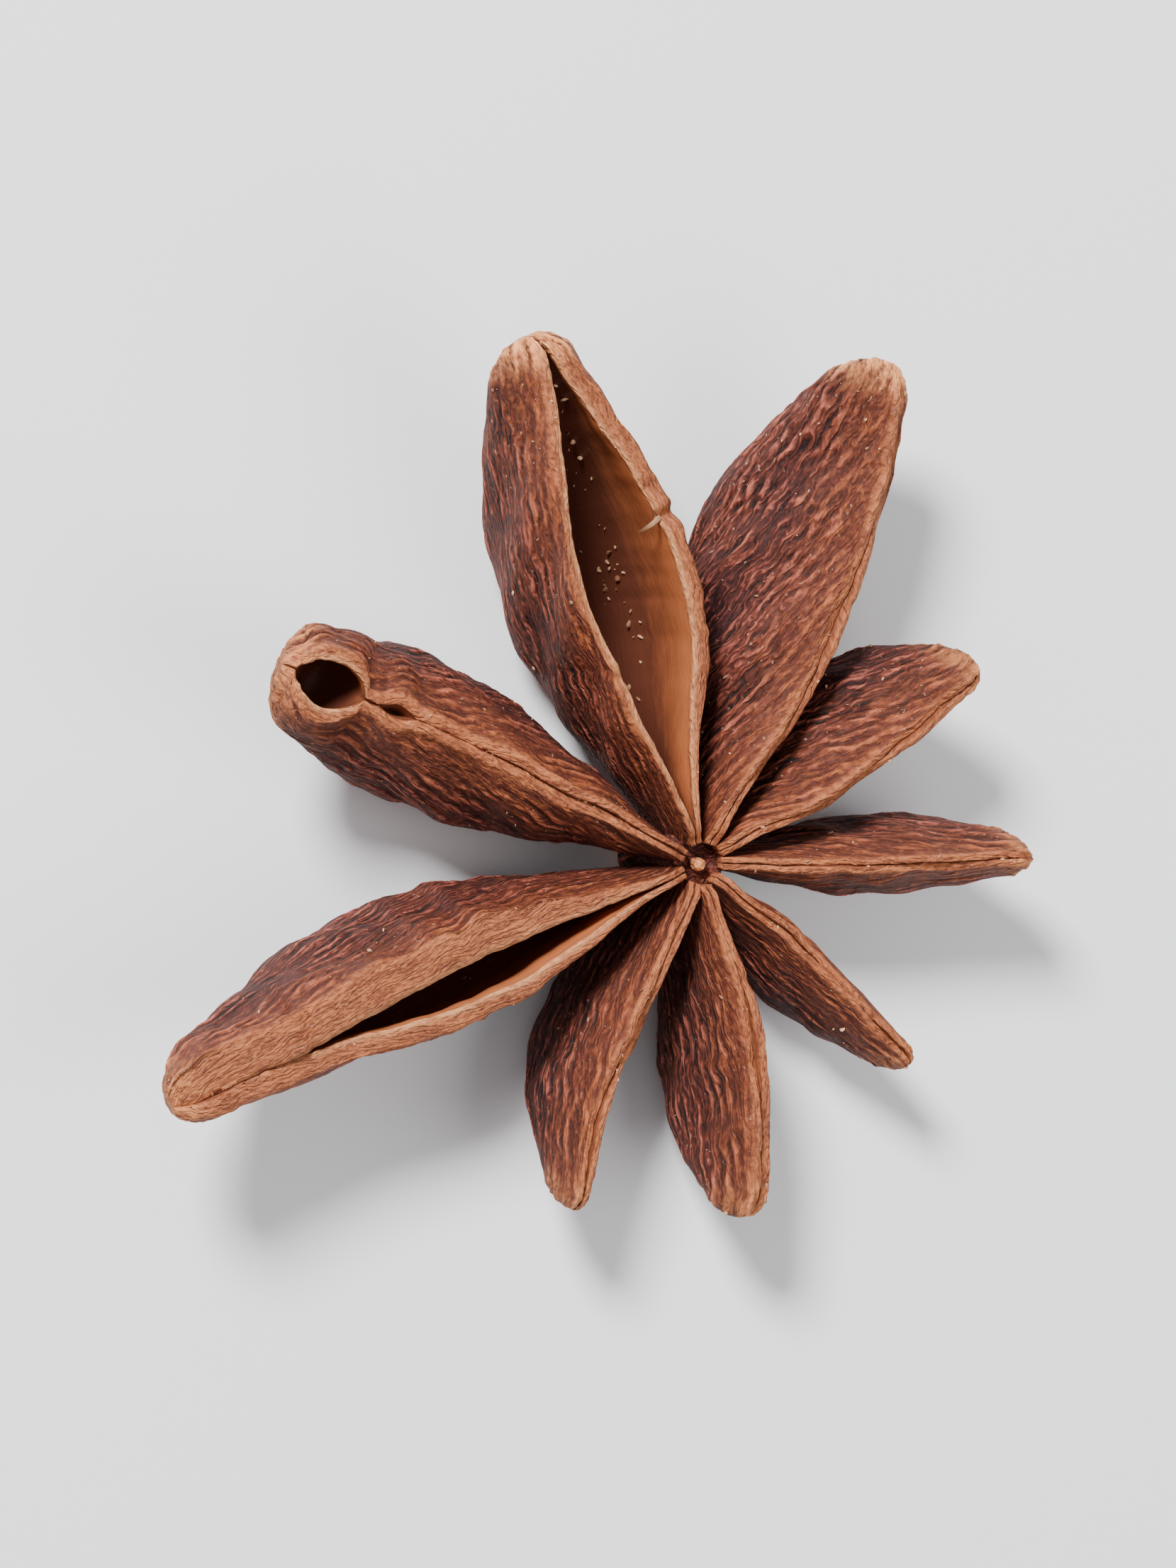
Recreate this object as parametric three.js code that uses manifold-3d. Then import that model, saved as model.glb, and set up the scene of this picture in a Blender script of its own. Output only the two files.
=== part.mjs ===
// Star anise pod, the dried star-shaped fruit: nine boat-shaped carpels round a short hub, lying on
// their keels with the seams (sutures) up. Units are millimetres, +Z is up, and the origin is the
// middle of the bounding box on the ground. In each carpel's own axes x runs from the hub to the
// beak, y to the carpel's left and z up, with z = 0 at the level where the seams meet.

import * as THREE from "three";
import { mergeVertices } from "three/addons/utils/BufferGeometryUtils.js";
import Module from "manifold-3d";

// Where the seams meet, and which way and how far the pod leans as it lies.
const HUB = { x: 3.6, y: -2.9, z: 5.9 };
const LEAN = { angle: 5.81, toward: -29.9 };

// The nine carpels, anticlockwise. turn is the direction of the beak and length its distance from
// the hub's axis, pitch how far the carpel points up, bow the sideways belly of the seam (left is
// positive), depth and width the size of the belly, belly where that is, as a share of the length,
// roll how far the seam leans to the right, rise the lift of the beak, beak its width, lips the
// widths of the two edges of the seam. split says where the seam stands open along the length, how
// wide, how slowly the gap widens (under 1 is a round hole, over 1 a slit), and how deep the hollow is.
const CARPELS = [
  {
    turn: 110.8, pitch: 1, length: 18.8, bow: -0.15, depth: 7.2, width: 4.9, belly: 0.5, roll: 8, rise: 0.6,
    beak: 3.0, lips: { left: 0.35, right: 0.7 },
    split: { from: 0.02, to: 1.0, gap: 3.4, ease: 1.5, hollow: 5.6 },
  },
  {
    turn: 156.2, pitch: -2, length: 16.4, bow: -0.3, depth: 6.8, width: 4.9, belly: 0.6, roll: 0, rise: 1.0,
    beak: 3.4, lips: { left: 0.36, right: 0.4 },
    split: { from: 0.81, to: 0.975, gap: 1.5, ease: 0.6, hollow: 2.8 },
  },
  {
    turn: 202.8, pitch: 0.5, length: 20.2, bow: -0.4, depth: 7.1, width: 4.1, belly: 0.5, roll: -11, rise: 0.3,
    beak: 2.0, lips: { left: 0.7, right: 1.5 },
    split: { from: 0.04, to: 0.79, gap: 1.2, ease: 1.5, hollow: 4.4 },
  },
  {
    turn: 249.8, pitch: -3, length: 12.4, bow: -0.9, depth: 5.9, width: 2.3, belly: 0.5, roll: -8, rise: 0.2,
    beak: 1.1, lips: { left: 0.2, right: 0.22 },
  },
  {
    turn: 278.3, pitch: 2.5, length: 12.0, bow: 0.45, depth: 6.0, width: 2.7, belly: 0.6, roll: -8, rise: -0.3,
    beak: 1.7, lips: { left: 0.28, right: 0.28 },
  },
  {
    turn: 318, pitch: -2, length: 10.4, bow: 0, depth: 5.4, width: 2.2, belly: 0.5, roll: -6, rise: 0.1,
    beak: 1.0, lips: { left: 0.2, right: 0.2 },
  },
  {
    turn: 1, pitch: 3, length: 11.6, bow: 0.1, depth: 5.9, width: 2.6, belly: 0.56, roll: 3, rise: 0.5,
    beak: 1.3, lips: { left: 0.2, right: 0.2 },
  },
  {
    turn: 36, pitch: 4, length: 11.6, bow: 0.5, depth: 5.8, width: 2.9, belly: 0.6, roll: 24, rise: 0.4,
    beak: 1.3, lips: { left: 0.22, right: 0.22 },
  },
  {
    turn: 69.6, pitch: 1, length: 18.0, bow: 0.1, depth: 6.9, width: 4.5, belly: 0.6, roll: 28, rise: 0.5,
    beak: 2.9, lips: { left: 0.26, right: 0.26 },
  },
];
const NO_SPLIT = { from: 2, to: 3, gap: 0, ease: 1, hollow: 0 };

// What all carpels share. A share is of the length, from the root at the hub to the beak, or of the
// depth, from the seam down to the keel.
const PIT_RADIUS = 0.7; // the roots ring a small pit
const ROOT = { halfWidth: 0.3, depth: 4.4 };
const BEAK_DEPTH = 2.0;
const NOSE_SHARE = 0.93; // from here the beak rounds off
const NOSE_END = 1.004;
const NOSE_DROP = 0.7; // how far the seam comes down round the nose
const WIDEST_SHARE = 0.55; // where the side walls are widest
const ROLL_SHARE = 0.4; // from here a rolled carpel is rolled all the way
const BOW_SKEW = 1.25; // over 1 puts the middle of the bow nearer the beak
const SEAM_ARCH = 0.25;
const ROOT_DIP = { height: 0.3, share: 0.035 }; // the seam comes down into the pit
const WALL = 0.6;
const ROOT_LIP = 0.18; // the lips' width at the hub
const GROOVE = { halfWidth: 0.03, depth: 0.25 }; // the seam where it is shut
const LIP_WAVE = { height: 0.12, turns: 9 };
const WRINKLE = { share: 0.025, along: 26, down: 1.7 }; // the coarse wrinkles of the side walls
const PHASE_STEP = 2.4; // keeps the wrinkles of two carpels apart

// The column between the roots with the knob in the pit, and the stub of the stalk below it.
const COLUMN = { radius: 1.15, top: -1.0, knobRadius: 0.2, knobTop: -0.4 };
const STALK = { radius: 1.1, flare: 1.3, length: 1.15, lean: 14, toward: 60 };

// How finely the surfaces are divided.
const STATIONS = { open: 21, shut: 18 };
const HOLLOW_STEPS = { open: 4, shut: 1 };
const LOWER_WALL_STEPS = 4;
const UPPER_WALL_STEPS = 3;
const ROUND_SEGMENTS = 18;

const GROUND_BLOCK = 60; // side of the block that cuts the flats the keels rest on
const MERGE_DISTANCE = 1e-4;

const rad = THREE.MathUtils.degToRad;
const mix = THREE.MathUtils.lerp;
const smooth = (t) => THREE.MathUtils.smoothstep(t, 0, 1);

// A bump that rises from 0 at one share of the length and is back at 0 at another.
function lens(s, from, to) {
  return s <= from || s >= to ? 0 : Math.sin((Math.PI * (s - from)) / (to - from));
}

// 1 along the carpel, and down to almost 0 where the beak rounds off.
function nose(s) {
  const past = Math.max(0, (s - NOSE_SHARE) / (NOSE_END - NOSE_SHARE));
  return Math.sqrt(1 - past * past);
}

// A size that grows from root to belly and shrinks to the beak.
function alongCarpel(s, bellyAt, root, belly, beak) {
  if (s < bellyAt) {
    return mix(root, belly, Math.sin((Math.PI / 2) * (s / bellyAt)) ** 1.25);
  }
  const beyond = (s - bellyAt) / (1 - bellyAt);
  return mix(beak, belly, Math.cos((Math.PI / 2) * beyond) ** 1.15) * nose(s);
}

// Low at the pit, arched along the carpel, lifted at the beak and rounded off round the nose.
function seamHeight(carpel, s) {
  const arch = carpel.rise * s ** 3 + SEAM_ARCH * Math.sin(Math.PI * s);
  return arch - NOSE_DROP * (1 - nose(s)) - ROOT_DIP.height * (1 - smooth(s / ROOT_DIP.share));
}

// The sizes of the cross-section at the share s of the carpel's length.
function sectionSizes(carpel, s, phase) {
  const split = carpel.split ?? NO_SPLIT;
  const openness = Math.sqrt(lens(s, split.from, split.to));
  const gap = (split.gap / 2) * lens(s, split.from, split.to) ** split.ease;
  const depth = alongCarpel(s, carpel.belly, ROOT.depth, carpel.depth, BEAK_DEPTH);
  const halfGap = gap + GROOVE.halfWidth * nose(s);
  const lipEdge = (lip) => halfGap + mix(ROOT_LIP, lip, smooth(2 * s)) * nose(s);
  return {
    s,
    phase,
    openness,
    depth,
    top: seamHeight(carpel, s),
    halfWidth: alongCarpel(s, carpel.belly, ROOT.halfWidth, carpel.width / 2, carpel.beak / 2),
    halfGap,
    leftLip: lipEdge(carpel.lips.left),
    rightLip: lipEdge(carpel.lips.right),
    hollow: mix(GROOVE.depth * nose(s), Math.min(split.hollow, depth - WALL), openness),
    lipWave: LIP_WAVE.height * Math.sin(LIP_WAVE.turns * s + phase) * smooth(4 * s) * nose(s),
    wrinkle: WRINKLE.share * carpel.width * Math.sin(Math.PI * s),
  };
}

// How far the outer wall stands from the middle plane, at a height below the seam: above the widest
// line it draws in to the lip, below it the wall rounds down to the keel.
function wallOffset(sizes, lip, below) {
  const widestAt = sizes.depth * WIDEST_SHARE;
  const widest = Math.max(sizes.halfWidth, lip * 1.03);
  if (below < widestAt) {
    return mix(widest, lip, (1 - below / widestAt) ** 1.7);
  }
  const across = (below - widestAt) / (sizes.depth - widestAt);
  return widest * Math.sqrt(Math.max(0, 1 - across * across)) ** 0.9;
}

// How far the inner wall stands from the middle plane, at a share of the hollow's depth.
function hollowOffset(sizes, lip, share) {
  const room = Math.max(wallOffset(sizes, lip, sizes.hollow * share) - WALL, sizes.halfGap / 2);
  const open = mix(sizes.halfGap, room, smooth(share / 0.4)) * Math.sqrt(1 - share ** 4);
  return mix(sizes.halfGap * (1 - share), open, sizes.openness);
}

// One side of a section as [y, z] points, from beside the keel up to the lip and down the inside.
// side is 1 for the left and -1 for the right.
function sidePoints(sizes, side, lip, hollowSteps) {
  const widestAt = sizes.depth * WIDEST_SHARE;
  const depths = [];
  for (let k = 1; k <= LOWER_WALL_STEPS; k++) {
    depths.push(mix(widestAt, sizes.depth, Math.cos((Math.PI / 2) * (k / LOWER_WALL_STEPS))));
  }
  for (let k = 1; k < UPPER_WALL_STEPS; k++) {
    depths.push(widestAt * (1 - k / UPPER_WALL_STEPS));
  }
  const points = depths.map((below) => {
    const wave = Math.sin(WRINKLE.along * sizes.s + WRINKLE.down * below * side + sizes.phase);
    return [side * (wallOffset(sizes, lip, below) + wave * sizes.wrinkle), sizes.top - below];
  });
  const lipTop = sizes.top + side * sizes.lipWave;
  points.push([side * lip, lipTop], [side * sizes.halfGap, lipTop]);
  for (let k = 1; k < hollowSteps; k++) {
    const share = k / hollowSteps;
    points.push([side * hollowOffset(sizes, lip, share), sizes.top - sizes.hollow * share]);
  }
  return points;
}

// One whole section: keel, left side, floor of the seam or the hollow, right side.
function sectionPoints(sizes, hollowSteps) {
  const keel = [0, sizes.top - sizes.depth];
  const floor = [0, sizes.top - sizes.hollow];
  const left = sidePoints(sizes, 1, sizes.leftLip, hollowSteps);
  const right = sidePoints(sizes, -1, sizes.rightLip, hollowSteps);
  return [keel, ...left, floor, ...right.reverse()];
}

// Puts a section's point in the hub's axes: rolled about the middle of the section, bowed, pitched
// and turned.
function placePoint(carpel, sizes, [y, z]) {
  const roll = rad(carpel.roll) * smooth(sizes.s / ROLL_SHARE);
  const pivot = sizes.top - sizes.depth / 2;
  const point = new THREE.Vector3(0, y, z - pivot).applyAxisAngle(new THREE.Vector3(1, 0, 0), roll);
  point.x = mix(PIT_RADIUS, carpel.length, sizes.s);
  point.y += carpel.bow * Math.sin(Math.PI * sizes.s ** BOW_SKEW);
  point.z += pivot;
  point.applyAxisAngle(new THREE.Vector3(0, 1, 0), -rad(carpel.pitch));
  return point.applyAxisAngle(new THREE.Vector3(0, 0, 1), rad(carpel.turn));
}

// The closed surface over a row of rings of points, with a fan round a middle point at each end.
function skinOver(rings, firstMiddle, lastMiddle) {
  const sides = rings[0].length;
  const last = (rings.length - 1) * sides;
  const vertices = [...rings.flat(), firstMiddle, lastMiddle];
  const triangles = [];
  for (let k = 0; k < sides; k++) {
    const next = (k + 1) % sides;
    for (let start = 0; start < last; start += sides) {
      triangles.push(start + k, start + next, start + sides + k);
      triangles.push(start + next, start + sides + next, start + sides + k);
    }
    triangles.push(next, k, vertices.length - 2);
    triangles.push(last + k, last + next, vertices.length - 1);
  }
  const numbers = vertices.flatMap((vertex) => vertex.toArray());
  const geometry = new THREE.BufferGeometry();
  geometry.setAttribute("position", new THREE.Float32BufferAttribute(numbers, 3));
  geometry.setIndex(triangles);
  return geometry;
}

function carpelGeometry(carpel, index) {
  const kind = carpel.split ? "open" : "shut";
  const rings = [];
  const middles = [];
  for (let i = 0; i <= STATIONS[kind]; i++) {
    const s = 1 - (1 - i / STATIONS[kind]) ** 1.5;
    const sizes = sectionSizes(carpel, s, PHASE_STEP * index);
    const place = (point) => placePoint(carpel, sizes, point);
    rings.push(sectionPoints(sizes, HOLLOW_STEPS[kind]).map(place));
    middles.push(place([0, sizes.top - (sizes.depth + sizes.hollow) / 2]));
  }
  return skinOver(rings, middles[0], middles.at(-1));
}

// A turned solid from [radius, height] pairs that start and end on the axis, lowest first.
function turned(profile) {
  const points = profile.map(([radius, height]) => new THREE.Vector2(radius, height));
  return new THREE.LatheGeometry(points, ROUND_SEGMENTS).rotateX(Math.PI / 2);
}

function columnGeometry() {
  const { radius, top, knobRadius, knobTop } = COLUMN;
  return turned([
    [0, -ROOT.depth],
    [radius * 0.8, -ROOT.depth],
    [radius, -ROOT.depth * 0.8],
    [radius, top - 0.4],
    [radius * 0.75, top],
    [knobRadius * 1.3, top],
    [knobRadius, knobTop - 0.15],
    [0, knobTop],
  ]);
}

function stalkGeometry() {
  const { radius, flare, length, lean, toward } = STALK;
  const geometry = turned([
    [0, -length],
    [radius * 0.75, -length * 1.05],
    [radius, -length * 0.9],
    [radius * 0.95, -length * 0.5],
    [flare, 0],
    [0, 0.8],
  ]);
  return leaned(geometry, lean, toward).translate(0, 0, -ROOT.depth);
}

// Tips the top of a piece over towards a direction.
function leaned(geometry, angle, toward) {
  const axis = new THREE.Vector3(-Math.sin(rad(toward)), Math.cos(rad(toward)), 0);
  return geometry.applyQuaternion(new THREE.Quaternion().setFromAxisAngle(axis, rad(angle)));
}

const wasm = await Module();
wasm.setup();

function toSolid(geometry) {
  geometry.deleteAttribute("normal");
  geometry.deleteAttribute("uv");
  const merged = mergeVertices(geometry, MERGE_DISTANCE);
  const corners = [...merged.index.array];
  const triVerts = [];
  for (let i = 0; i < corners.length; i += 3) {
    const [a, b, c] = corners.slice(i, i + 3);
    if (a !== b && b !== c && c !== a) {
      triVerts.push(a, b, c);
    }
  }
  const vertProperties = merged.attributes.position.array;
  const mesh = new wasm.Mesh({ numProp: 3, vertProperties, triVerts: Uint32Array.from(triVerts) });
  return new wasm.Manifold(mesh);
}

function toGeometry(solid) {
  const { vertProperties, triVerts } = solid.getMesh();
  const geometry = new THREE.BufferGeometry();
  geometry.setAttribute("position", new THREE.BufferAttribute(vertProperties, 3));
  geometry.setIndex(new THREE.BufferAttribute(triVerts, 1));
  geometry.computeVertexNormals();
  return geometry;
}

const pieces = [...CARPELS.map(carpelGeometry), columnGeometry(), stalkGeometry()];
const lying = pieces.map((piece) => leaned(piece, LEAN.angle, LEAN.toward).translate(HUB.x, HUB.y, HUB.z));
const whole = lying.map(toSolid).reduce((joined, next) => joined.add(next));
const ground = new THREE.BoxGeometry(GROUND_BLOCK, GROUND_BLOCK, GROUND_BLOCK);
const resting = whole.subtract(toSolid(ground.translate(0, 0, -GROUND_BLOCK / 2)));

const husk = new THREE.MeshStandardMaterial({ color: 0x6b3a26, roughness: 0.75, metalness: 0 });
const pod = new THREE.Mesh(toGeometry(resting), husk);
pod.name = "pod";

const starAnise = new THREE.Group();
starAnise.add(pod);

export default starAnise;
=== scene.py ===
import math

import bmesh
import bpy
import numpy as np
from mathutils import Euler, Matrix, Vector


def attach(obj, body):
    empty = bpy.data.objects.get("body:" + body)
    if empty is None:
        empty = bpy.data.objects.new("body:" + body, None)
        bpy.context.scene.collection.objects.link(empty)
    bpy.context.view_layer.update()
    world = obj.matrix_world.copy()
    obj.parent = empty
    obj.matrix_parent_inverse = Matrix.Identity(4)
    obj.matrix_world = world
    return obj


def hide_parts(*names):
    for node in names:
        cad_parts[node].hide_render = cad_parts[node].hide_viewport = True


# Star anise pod, dressed. The carpels follow the sizes and section rules of the part's source on a
# finer grid, and add the wrinkles, worn lips, rough beaks, shred and crumbs that the plain solid
# leaves out. The pod's lengths are millimetres until a mesh is made, and metres there. The floor,
# the lamps and the camera are placed in metres.

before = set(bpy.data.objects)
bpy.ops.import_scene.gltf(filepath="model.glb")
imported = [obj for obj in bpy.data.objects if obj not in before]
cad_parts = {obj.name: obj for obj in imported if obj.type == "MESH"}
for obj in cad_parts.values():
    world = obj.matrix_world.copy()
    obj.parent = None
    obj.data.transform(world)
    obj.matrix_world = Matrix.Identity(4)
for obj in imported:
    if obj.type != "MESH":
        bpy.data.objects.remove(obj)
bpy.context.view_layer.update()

MM = 0.001

# Where the seams meet, and how far and which way the pod leans as it lies.
HUB = (3.6, -2.9, 5.9)
LEAN = dict(angle=5.81, toward=-29.9)

# The nine carpels, anticlockwise. turn is the direction of the beak, pitch how far the carpel points
# up and roll how far its seam leans to the right, in degrees. length runs from the hub's axis to the
# beak. bow is the sideways belly of the seam, left being positive, depth and width are the size of
# the carpel's belly and belly is where that lies as a share of the length. rise is the lift of the
# beak, beak its width and lips are the widths of the left and the right lip. tone is how far the
# colour goes from dull red-brown, 0, to warm orange-brown, 1. wrinkled is how deep the wrinkles are
# and slope how steeply they rise to the seam as they run outwards, in degrees. worn is how pale the
# beak is rubbed; at 1 that pale is partly painted highlight as well.
# split says where the seam stands open along the length, how wide, how slowly the gap widens, how
# deep the hollow is, and by how much the lips are wider and higher there. slot is a second, smaller
# opening. nicks are chips out of a lip: its side, left being 1, the place as a share of the length,
# the depth, and the half width, a share of the length too.
CARPELS = [
    dict(
        name="carpel_open", turn=110.8, pitch=1, length=18.8, bow=-0.15, depth=7.2, width=4.9, belly=0.5,
        roll=8, rise=0.6, beak=3.0, lips=(0.35, 0.7), tone=0.95, wrinkled=0.6, slope=6, worn_and_lit=1.0,
        split=dict(start=0.02, end=1.0, gap=3.4, ease=1.5, hollow=5.6, rim=0.0),
        nicks=((-1, 0.6, 0.34, 0.013), (-1, 0.66, 0.14, 0.02), (1, 0.35, 0.1, 0.012)),
    ),
    dict(
        name="carpel_ring", turn=156.2, pitch=-2, length=16.4, bow=-0.3, depth=6.8, width=4.9, belly=0.6,
        roll=0, rise=1.0, beak=3.4, lips=(0.36, 0.4), tone=0.3, wrinkled=0.95, slope=16,
        split=dict(start=0.81, end=0.975, gap=1.5, ease=0.6, hollow=2.8, rim=0.12),
        slot=dict(start=0.685, end=0.772, gap=0.42, depth=0.9),
    ),
    dict(
        name="carpel_slit", turn=202.8, pitch=0.5, length=20.2, bow=-0.4, depth=7.1, width=4.1, belly=0.5,
        roll=-11, rise=0.3, beak=2.0, lips=(0.7, 1.5), tone=0.55, wrinkled=0.8, slope=10,
        split=dict(start=0.04, end=0.79, gap=1.2, ease=1.5, hollow=4.4, rim=0.0),
        nicks=((1, 0.42, 0.16, 0.014), (-1, 0.74, 0.14, 0.01)),
    ),
    dict(
        name="carpel_thin", turn=249.8, pitch=-3, length=12.4, bow=-0.9, depth=5.9, width=2.3, belly=0.5,
        roll=-8, rise=0.2, beak=1.1, lips=(0.2, 0.22), tone=0.3, wrinkled=0.75, slope=8,
    ),
    dict(
        name="carpel_bowed", turn=278.3, pitch=2.5, length=12.0, bow=0.45, depth=6.0, width=2.7, belly=0.6,
        roll=-8, rise=-0.3, beak=1.7, lips=(0.28, 0.28), tone=0.45, wrinkled=0.75, slope=5,
        nicks=((1, 0.3, 0.14, 0.02), (-1, 0.55, 0.12, 0.02)),
    ),
    dict(
        name="carpel_short", turn=318, pitch=-2, length=10.4, bow=0, depth=5.4, width=2.2, belly=0.5,
        roll=-6, rise=0.1, beak=1.0, lips=(0.2, 0.2), tone=0.25, wrinkled=0.7, slope=8,
    ),
    dict(
        name="carpel_east", turn=1, pitch=3, length=11.6, bow=0.1, depth=5.9, width=2.6, belly=0.56,
        roll=3, rise=0.5, beak=1.3, lips=(0.2, 0.2), tone=0.5, wrinkled=0.8, slope=12,
    ),
    dict(
        name="carpel_tipped", turn=36, pitch=4, length=11.6, bow=0.5, depth=5.8, width=2.9, belly=0.6,
        roll=24, rise=0.4, beak=1.3, lips=(0.22, 0.22), tone=0.4, wrinkled=0.85, slope=18,
    ),
    dict(
        name="carpel_rolled", turn=69.6, pitch=1, length=18.0, bow=0.1, depth=6.9, width=4.5, belly=0.6,
        roll=28, rise=0.5, beak=2.9, lips=(0.26, 0.26), tone=0.3, wrinkled=1.1, slope=21, worn_and_lit=1.0,
    ),
]
NO_SPLIT = dict(start=2, end=3, gap=0, ease=1, hollow=0, rim=0)
NO_SLOT = dict(start=2, end=3, gap=0, depth=0)
WORN = 0.4  # how pale a beak is rubbed where its carpel says nothing of it

# What all carpels share. A share is of the length, from the root at the hub to the beak, or of the
# depth, from the seam down to the keel.
PIT_RADIUS = 0.7  # the roots ring a small pit
ROOT_HALF_WIDTH = 0.3
ROOT_DEPTH = 4.4
BEAK_DEPTH = 2.0
NOSE_SHARE = 0.93  # from here the beak rounds off
NOSE_END = 1.004
NOSE_DROP = 0.7  # how far the seam comes down round the nose
WIDEST_SHARE = 0.55  # where the side walls are widest
ROLL_SHARE = 0.4  # from here a rolled carpel is rolled all the way
BOW_SKEW = 1.25  # over 1 puts the middle of the bow nearer the beak
SEAM_ARCH = 0.25
ROOT_DIP = dict(height=0.3, share=0.035)  # the seam comes down into the pit
WALL = 0.6
ROOT_LIP = 0.18  # the lips' width at the hub
GROOVE = dict(half_width=0.03, depth=0.15)  # the seam where it is shut

# The waves of a lip's top, and the coarse wrinkles of the side walls, whose height is a share of the
# carpel's width. along is in radians over the length and down in radians a millimetre. PHASE_STEP is
# how many radians lie between the waves of one carpel and of the next.
LIP_WAVE = dict(height=0.12, along=9)
COARSE = dict(height=0.025, along=26, down=1.7)
PHASE_STEP = 2.4

# Noises along a seam, each a height, its waves a millimetre and a seed. A lip's width is uneven by a
# share of itself. Its wear and the waver of the whole seam are in millimetres.
LIP_UNEVEN = ((0.24, 0.45, 35), (0.12, 1.5, 36))
LIP_WEAR = ((0.05, 0.9, 31), (0.03, 2.9, 32))
SEAM_WAVER = ((0.13, 0.35, 33), (0.05, 1.2, 34))
ROW_STEP = 7.3  # how far apart the rows of such a noise lie, in waves

# How the edges are finished: how far a worn lip is felt down the walls, the share of its width that
# a lip is domed, which grows no more above the width given, and how far the marks fade beside it.
WEAR_REACH = dict(outside=0.5, inside=0.3)
LIP_CROWN = dict(share=0.12, up_to=0.5)
LIP_FADE = dict(outside=0.07, inside=0.1)
RIM_WIDTH = 0.26
RIM_FADE = 0.2
INSIDE_FADE = 0.2

# Noises over a carpel, each its waves a millimetre along the wrinkles, sideways and across the
# wrinkles, and a seed. They swell the walls, bend, ripple and strengthen the wrinkles, roughen the
# lips, beaks and hollows, and make the line uneven where a beak's roughness starts.
SWELL = ((0.22, 0.55, 0.55), 3)
BEND = ((0.3, 0.8, 0.8), 11)
RIPPLE = ((1.2, 2.2, 2.2), 12)
STRENGTH = ((0.85, 1.2, 1.2), 14)
GRAIN = ((5.0, 5.0, 5.0), 17)
LUMPS = ((2.4, 2.4, 2.4), 19)
RAGGED = ((1.3, 1.3, 1.3), 20)
OWN_STEP = 37.0  # keeps the noises of two carpels apart

# The fine wrinkles of the walls, in two sizes: how far apart they run, their height, how far the
# noises shift them, in pitches, and how much more steeply they rise to the seam than the carpel's
# slope says, in millimetres a millimetre.
WIDE = dict(pitch=0.52, height=0.075, bend=0.8, ripple=0.35, slant=0.0)
NARROW = dict(pitch=0.36, height=0.045, bend=-1.0, ripple=0.45, slant=0.12)
CREST_MEAN = 0.4  # near the mean of the crests, so that they hardly thicken or thin a wall
STRONG = dict(middle=0.6, spread=0.85)  # how strong the wrinkles are, and how far that goes up and down
RIDGE_MARK = dict(wide=0.6, narrow=0.4, where_weak=0.35)  # what the colours of the wrinkles follow
SWELL_HEIGHT = 0.11
SEAM_MARGIN = 0.35  # the wrinkles fade out this close to the seam

# Heights of the rough grain and of the lumps. A beak is rough from BEAK_LENGTH before its end, give
# or take a share of that.
LIP_ROUGH = dict(grain=0.012, lumps=0.02)
BEAK_ROUGH = dict(grain=0.07, lumps=0.11)
HOLLOW_LUMPS = 0.008
BEAK_LENGTH = 1.5
BEAK_RAGGED = 0.3

# The shred of husk that curls into the mouth where the open carpel's lip is chipped. share is where
# it is rooted along the carpel, root how far back from the lip's inner edge, and reach how far it
# goes from there. lift and drop arch it, sink lowers it into the lip, drift is how far its end turns
# outwards along the carpel, and taper how much of its width is gone there. tones are its ends' tones.
# The lighter root on the lip and the darker end, curled down into the mouth, are painted highlight and
# painted shade.
FLAP = dict(
    share=0.6, root=0.15, reach=0.75, lift=0.3, drop=0.5, sink=0.1, drift=-0.3, width=0.2, taper=0.7,
    thickness=0.06, tones=(0.5, 0.1), steps=24, sides=16,
)

# The column between the roots with the knob in the pit, and the stub of the stalk below it. bumps,
# fibres and broken are heights of their relief.
COLUMN = dict(radius=1.15, top=-1.0, knob_radius=0.2, knob_top=-0.4, bumps=0.08, steps=80)
STALK = dict(radius=1.1, flare=1.3, length=1.15, lean=14, toward=60, fibres=0.08, broken=0.12, steps=70)
AXIS_GAP = 0.05  # how near to the axis a turned grid begins, where a fan closes it
FAR_BELOW = 3.0  # the mark below, where a piece has no seam

# The crumbs: their number and the radii of the smallest and the largest. Each is a lump whose
# corners are moved in or out, stretched between least and most along its three axes. Over 1, small
# makes small ones more common, and lift is how high they sit, as a share of the radius.
CRUMB_SEED = 41
CRUMBS_OUTSIDE = dict(count=300, radii=(0.03, 0.1))
CRUMBS_IN_OPEN = dict(count=110, radii=(0.04, 0.2))
CRUMBS_IN_SLIT = dict(count=30, radii=(0.03, 0.1))
CRUMB = dict(corners=(0.6, 1.3), least=(0.8, 0.5, 0.25), most=(1.3, 0.9, 0.6), small=1.8, lift=0.35)
FACING_UP = 0.35  # the least upward part of a normal that a crumb stays on
WELL_INSIDE = 0.9  # the mark inside is over this in a hollow

# How finely the surfaces are divided: the pitch of the grid on the walls, and steps elsewhere.
PITCH = 0.076
STATION_EASE = 1.2  # over 1 sets the stations closer at the beak
LOWER_WALL_SHARE = 0.62  # how long the wall is under its widest line, as a share of the depth
LIP_STEPS = 7
HOLLOW_STEPS = 30
GROOVE_STEPS = 5
ROUND_SEGMENTS = 96

# The studio.
FLOOR = dict(radius=0.7, segments=96, colour=(0.97, 0.97, 0.98, 1), roughness=0.6)
SKY = dict(colour=(0.95, 0.96, 1.0, 1), strength=0.42)
LAMPS = dict(
    key=dict(place=(-0.18, 0.22, 0.32), size=0.12, power=3.6),
    fill=dict(place=(0.25, -0.12, 0.3), size=0.3, power=0.8),
)
LAMP_TARGET = (0, 0, 0.003)
CAMERA = dict(tilt=15, distance=0.3, target=(0, -0.0002, 0.004), lens=205, sensor=36)


# Noise and small curves ---------------------------------------------------------------------------


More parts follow.
